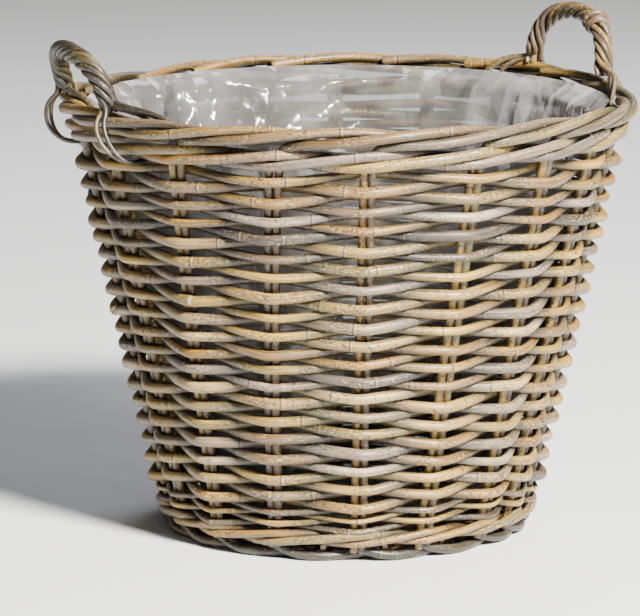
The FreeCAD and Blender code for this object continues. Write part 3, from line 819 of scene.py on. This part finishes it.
def hook_points(azimuth, slant, bulge):
    """A lashing: from a handle's foot down outside the rim, under the top wale and up inside."""
    down = (
        (279.0, 425.5, 0.0), (284.0 + bulge, 419, 0.05), (286.5 + bulge, 407, 0.25),
        (284.0 + bulge, 393, 0.6), (277.0, 382.5, 0.9), (267, 379.5, 1.0), (252, 380, 1.0),
        (244.5, 386, 1.0), (248.5, 396, 0.8), (253.0, 400, 0.6))
    return [place(azimuth + slant * share, r * MM, z * MM) for r, z, share in down]


def tail_points(azimuth, sweep, lift):
    """A handle rod's end, lying along the top of the rim and tucked in behind it."""
    run = (
        (0.12, 270.0, 430.0), (0.35, 268.0, 429.0), (0.62, 262.5, 426.5), (0.85, 257.0, 420.0),
        (1.0, 254.5, 411.0))
    return [place(azimuth + sweep * share, r * MM, z * MM + lift) for share, r, z in run]


def twisted_points(arch, start_turn, rng):
    """A rod's helix round the core of the arch."""
    points = []
    loose = HANDLE_TWIST * rng.uniform(0.97, 1.05)
    lead = rng.normal(0, 0.08)
    for i in range(HANDLE_STEPS + 1):
        here = arch[i]
        tangent = arch[min(i + 1, HANDLE_STEPS)] - arch[max(i - 1, 0)]
        tangent = tangent / np.linalg.norm(tangent)
        outward = np.array((here[0], here[1], 0.0))
        outward /= np.linalg.norm(outward)
        outward = outward - tangent * np.dot(outward, tangent)
        outward /= np.linalg.norm(outward)
        sideways = np.cross(tangent, outward)
        turn = start_turn + lead + 2 * math.pi * HANDLE_TURNS * i / HANDLE_STEPS
        points.append(here + (outward * math.cos(turn) + sideways * math.sin(turn)) * loose)
    return points


def make_handles(material):
    for side, handle in HANDLES.items():
        arch = handle_arch(handle)
        rods = Rods(handle["seed"])
        rods.add(smooth_path(arch), 3.5 * MM, HANDLE_TONES, 10, shade=handle["shade"])
        rods.piece(f"{side}_handle_core", [f"handle_{side}_core"], "handles", material)
        rods = Rods(handle["seed"] + 1)
        first, last = handle["feet"]
        for i in range(6):
            points = twisted_points(arch, math.radians(60 * (i + 0.5)), rods.rng)
            radius = rods.rng.uniform(2.7, 3.3) * MM
            beside = 0.6 if i in (0, 2) else -0.6
            bulge = 5.0 if i in (0, 3) else 0.0
            lift = 0.4 * MM * i
            if i in (0, 5):
                hook = hook_points(handle["hooks"][0] + beside, handle["slant"][0], bulge)
                points = list(reversed(hook)) + points[2:]
            if i in (1, 2, 4):
                tail = tail_points(first, handle["tails"][0] * (0.55 + 0.15 * i), lift)
                points = list(reversed(tail)) + points[3:]
            if i in (2, 3):
                hook = hook_points(handle["hooks"][1] + beside, handle["slant"][1], bulge)
                points = points[:-2] + hook
            if i in (0, 5, 4):
                tail = tail_points(last, handle["tails"][1] * (0.65 + 0.07 * i), lift)
                points = points[:-3] + tail
            path = smooth_path(points, 2.5 * MM)
            thick = np.interp(path[:, 2], (0.418, 0.432), (2.0 * MM, radius))
            rods.add(path, thick, HANDLE_TONES, 12, shade=handle["shade"])
        if side == "right":
            add_knot(rods, arch)
        rods.piece(f"{side}_handle_rods", [f"handle_{side}_rods"], "handles", material)


def add_knot(rods, arch):
    """A spare end bound tightly round the top of the handle, with a few loose fibres."""
    rng = rods.rng
    first, last, turns = 11.5, 15.5, 2.0
    points = []
    for turn in np.linspace(0, turns, 40):
        at = first + (last - first) * turn / turns
        i = int(at)
        here = arch[i] + (arch[i + 1] - arch[i]) * (at - i)
        tangent = arch[i + 1] - arch[i - 1]
        tangent /= np.linalg.norm(tangent)
        outward = np.array((here[0], here[1], 0.0))
        outward = outward - tangent * np.dot(outward, tangent)
        outward /= np.linalg.norm(outward)
        sideways = np.cross(tangent, outward)
        angle = -2 * math.pi * turn
        swell = (9.0 + 1.4 * math.sin(math.pi * turn / turns)) * MM
        points.append(here + (outward * math.cos(angle) + sideways * math.sin(angle)) * swell)
    step = points[0] - points[1]
    step /= np.linalg.norm(step)
    end = points[0] + step * 5 * MM
    rods.add(smooth_path([end] + points, 2.0 * MM), 3.1 * MM, ((GREY_BROWN, 1.0),), 12)
    for _ in range(5):
        fibre = [end - step * MM]
        for _ in range(3):
            fibre.append(fibre[-1] + step * 2.2 * MM + rng.normal(0, 0.8, 3) * MM)
        rods.add(smooth_path(fibre, 1.0 * MM), 0.4 * MM, STAKE_TONES, 6)


# ---------------------------------------------------------------- liner

LINER_FLOOR = 22.5 * MM
LINER_TOP = 415.0 * MM
LINER_GAP = 19.6 * MM
LINER_AROUND = 590
LINER_HIGH = 130
LINER_RINGS = 36


def crumple(points, seed, low, high, count):
    """Creased facets: folded sheets of several sizes and directions, added up, between 0 and 1."""
    rng = np.random.default_rng(seed)
    total = np.zeros(len(points))
    weight = 0.0
    for _ in range(count):
        direction = rng.normal(0, 1, 3)
        direction /= np.linalg.norm(direction)
        size = rng.uniform(low, high)
        bend = 0.35 * np.sin(points @ (rng.normal(0, 1, 3) * 14.0) + rng.uniform(0, 6.3))
        phase = points @ direction / size + bend + rng.uniform(0, 1)
        total += size * np.abs(2 * (phase - np.floor(phase + 0.5)))
        weight += size
    return total / weight


def make_liner(material):
    """An open bag of crinkled film, folded up the wall and tucked in under the border."""
    angle = np.linspace(0, 2 * math.pi, LINER_AROUND, endpoint=False)
    rings = []
    for i in range(1, LINER_RINGS):
        share = i / LINER_RINGS
        reach = (wall_radius(LINER_FLOOR) - LINER_GAP - 8 * MM) * share
        rings.append((reach, LINER_FLOOR, share, 0.0))
    for i in range(LINER_HIGH + 1):
        share = i / LINER_HIGH
        z = LINER_FLOOR + (LINER_TOP - LINER_FLOOR) * share
        reach = wall_radius(min(z, 0.396)) - LINER_GAP - 8 * MM * max(0.0, 1 - share * 20) ** 2
        over = max(0.0, (share - 0.955) / 0.045)
        reach += 15 * MM * over ** 1.3
        rings.append((reach, z, 1.0, 1 - 0.8 * over))
    points = np.vstack([np.column_stack([np.sin(angle) * r, -np.cos(angle) * r, np.full(LINER_AROUND, z)])
                        for r, z, _, _ in rings])
    depth = np.repeat([k for _, _, _, k in rings], LINER_AROUND)
    edge = np.repeat([k for _, _, k, _ in rings], LINER_AROUND)
    big = crumple(points, 71, 0.08, 0.16, 3)
    small = crumple(points, 72, 0.022, 0.055, 4)
    lean = np.arctan2(points[:, 0], -points[:, 1])
    pleat = np.abs(np.sin(lean * 8 + 6 * points[:, 2] + 2.4 * np.sin(3 * lean))) ** 0.5
    calm = 1 - 0.65 * np.clip((points[:, 0] - 0.05) / 0.1, 0, 1)
    push = (15 * MM * big + (9 * MM * small + 8 * MM * (1 - pleat)) * calm) * depth
    inward = -points / np.maximum(np.linalg.norm(points[:, :2], axis=1), 1e-6)[:, None]
    inward[:, 2] = 0
    points = points + inward * push[:, None]
    points[:, 2] += (4 * MM * small + 5 * MM * big) * np.where(depth > 0, depth, edge)
    rows = len(rings)
    column = np.arange(LINER_AROUND)
    beyond = (column + 1) % LINER_AROUND
    faces = []
    for i in range(rows - 1):
        a = i * LINER_AROUND
        b = a + LINER_AROUND
        quads = np.column_stack([a + column, a + beyond, b + beyond, b + column])
        faces.extend(map(tuple, quads.tolist()))
    hub = len(points)
    points = np.vstack([points, [[0, 0, points[:LINER_AROUND, 2].mean()]]])
    faces.extend((hub, int(j), int(i)) for i, j in zip(column, beyond))
    mesh = bpy.data.meshes.new("liner_film")
    mesh.from_pydata(points.tolist(), [], faces)
    mesh.shade_smooth()
    mesh.materials.append(material)
    film = bpy.data.objects.new("liner_film", mesh)
    bpy.context.scene.collection.objects.link(film)
    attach(film, BODY)
    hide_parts("liner")


# ---------------------------------------------------------------- room

def make_floor():
    mesh = bpy.data.meshes.new("floor")
    size = 6.0
    mesh.from_pydata([(-size, -size, 0), (size, -size, 0), (size, size, 0), (-size, size, 0)], [],
                     [(0, 1, 2, 3)])
    floor = bpy.data.objects.new("floor", mesh)
    bpy.context.scene.collection.objects.link(floor)
    material, _, _, shader = node_tree("studio_floor")
    shader.inputs["Base Color"].default_value = (0.80, 0.85, 0.93, 1)
    shader.inputs["Roughness"].default_value = 0.9
    mesh.materials.append(material)


def area_light(name, place_at, aim, size, power, colour=(1.0, 1.0, 1.0)):
    light = bpy.data.lights.new(name, "AREA")
    light.shape = "DISK"
    light.size = size
    light.energy = power
    light.color = colour
    lamp = bpy.data.objects.new(name, light)
    lamp.location = place_at
    lamp.rotation_euler = (Vector(aim) - Vector(place_at)).to_track_quat("-Z", "Y").to_euler()
    bpy.context.scene.collection.objects.link(lamp)


def make_light():
    world = bpy.data.worlds.new("studio")
    world.use_nodes = True
    world.node_tree.nodes["Background"].inputs["Color"].default_value = (1, 1, 1, 1)
    world.node_tree.nodes["Background"].inputs["Strength"].default_value = 0.07
    bpy.context.scene.world = world
    area_light("key", (1.95, -3.0, 3.1), (0, 0, 0.25), 0.9, 1210, (1.0, 0.93, 0.81))
    area_light("fill", (-2.8, -1.6, 1.8), (0, 0, 0.2), 2.2, 2)
    area_light("back", (0.8, 2.6, 2.8), (0, 0, 0.3), 1.8, 55)


CAMERA_PLACE = (0.0, -4.15, 0.99)
CAMERA_DOWN = 10.64
CAMERA_LEFT = 0.36
FOCAL_PIXELS = 4340.0
IMAGE_WIDTH = 640


def make_camera():
    data = bpy.data.cameras.new("camera")
    data.sensor_width = 36.0
    data.lens = FOCAL_PIXELS / IMAGE_WIDTH * data.sensor_width
    data.clip_end = 50.0
    camera = bpy.data.objects.new("camera", data)
    camera.location = CAMERA_PLACE
    camera.rotation_euler = (math.radians(90 - CAMERA_DOWN), 0.0, math.radians(CAMERA_LEFT))
    bpy.context.scene.collection.objects.link(camera)
    bpy.context.scene.camera = camera


# ---------------------------------------------------------------- the basket

make_camera()
make_light()
make_floor()
REED = rattan("rattan_weave", 0.5)
make_siding(REED)
make_wales(REED)
PEELED = rattan("rattan_stakes", 0.3)
make_stakes(PEELED)
make_foot(REED)
make_base(REED)
make_handles(REED)
make_liner(polythene())
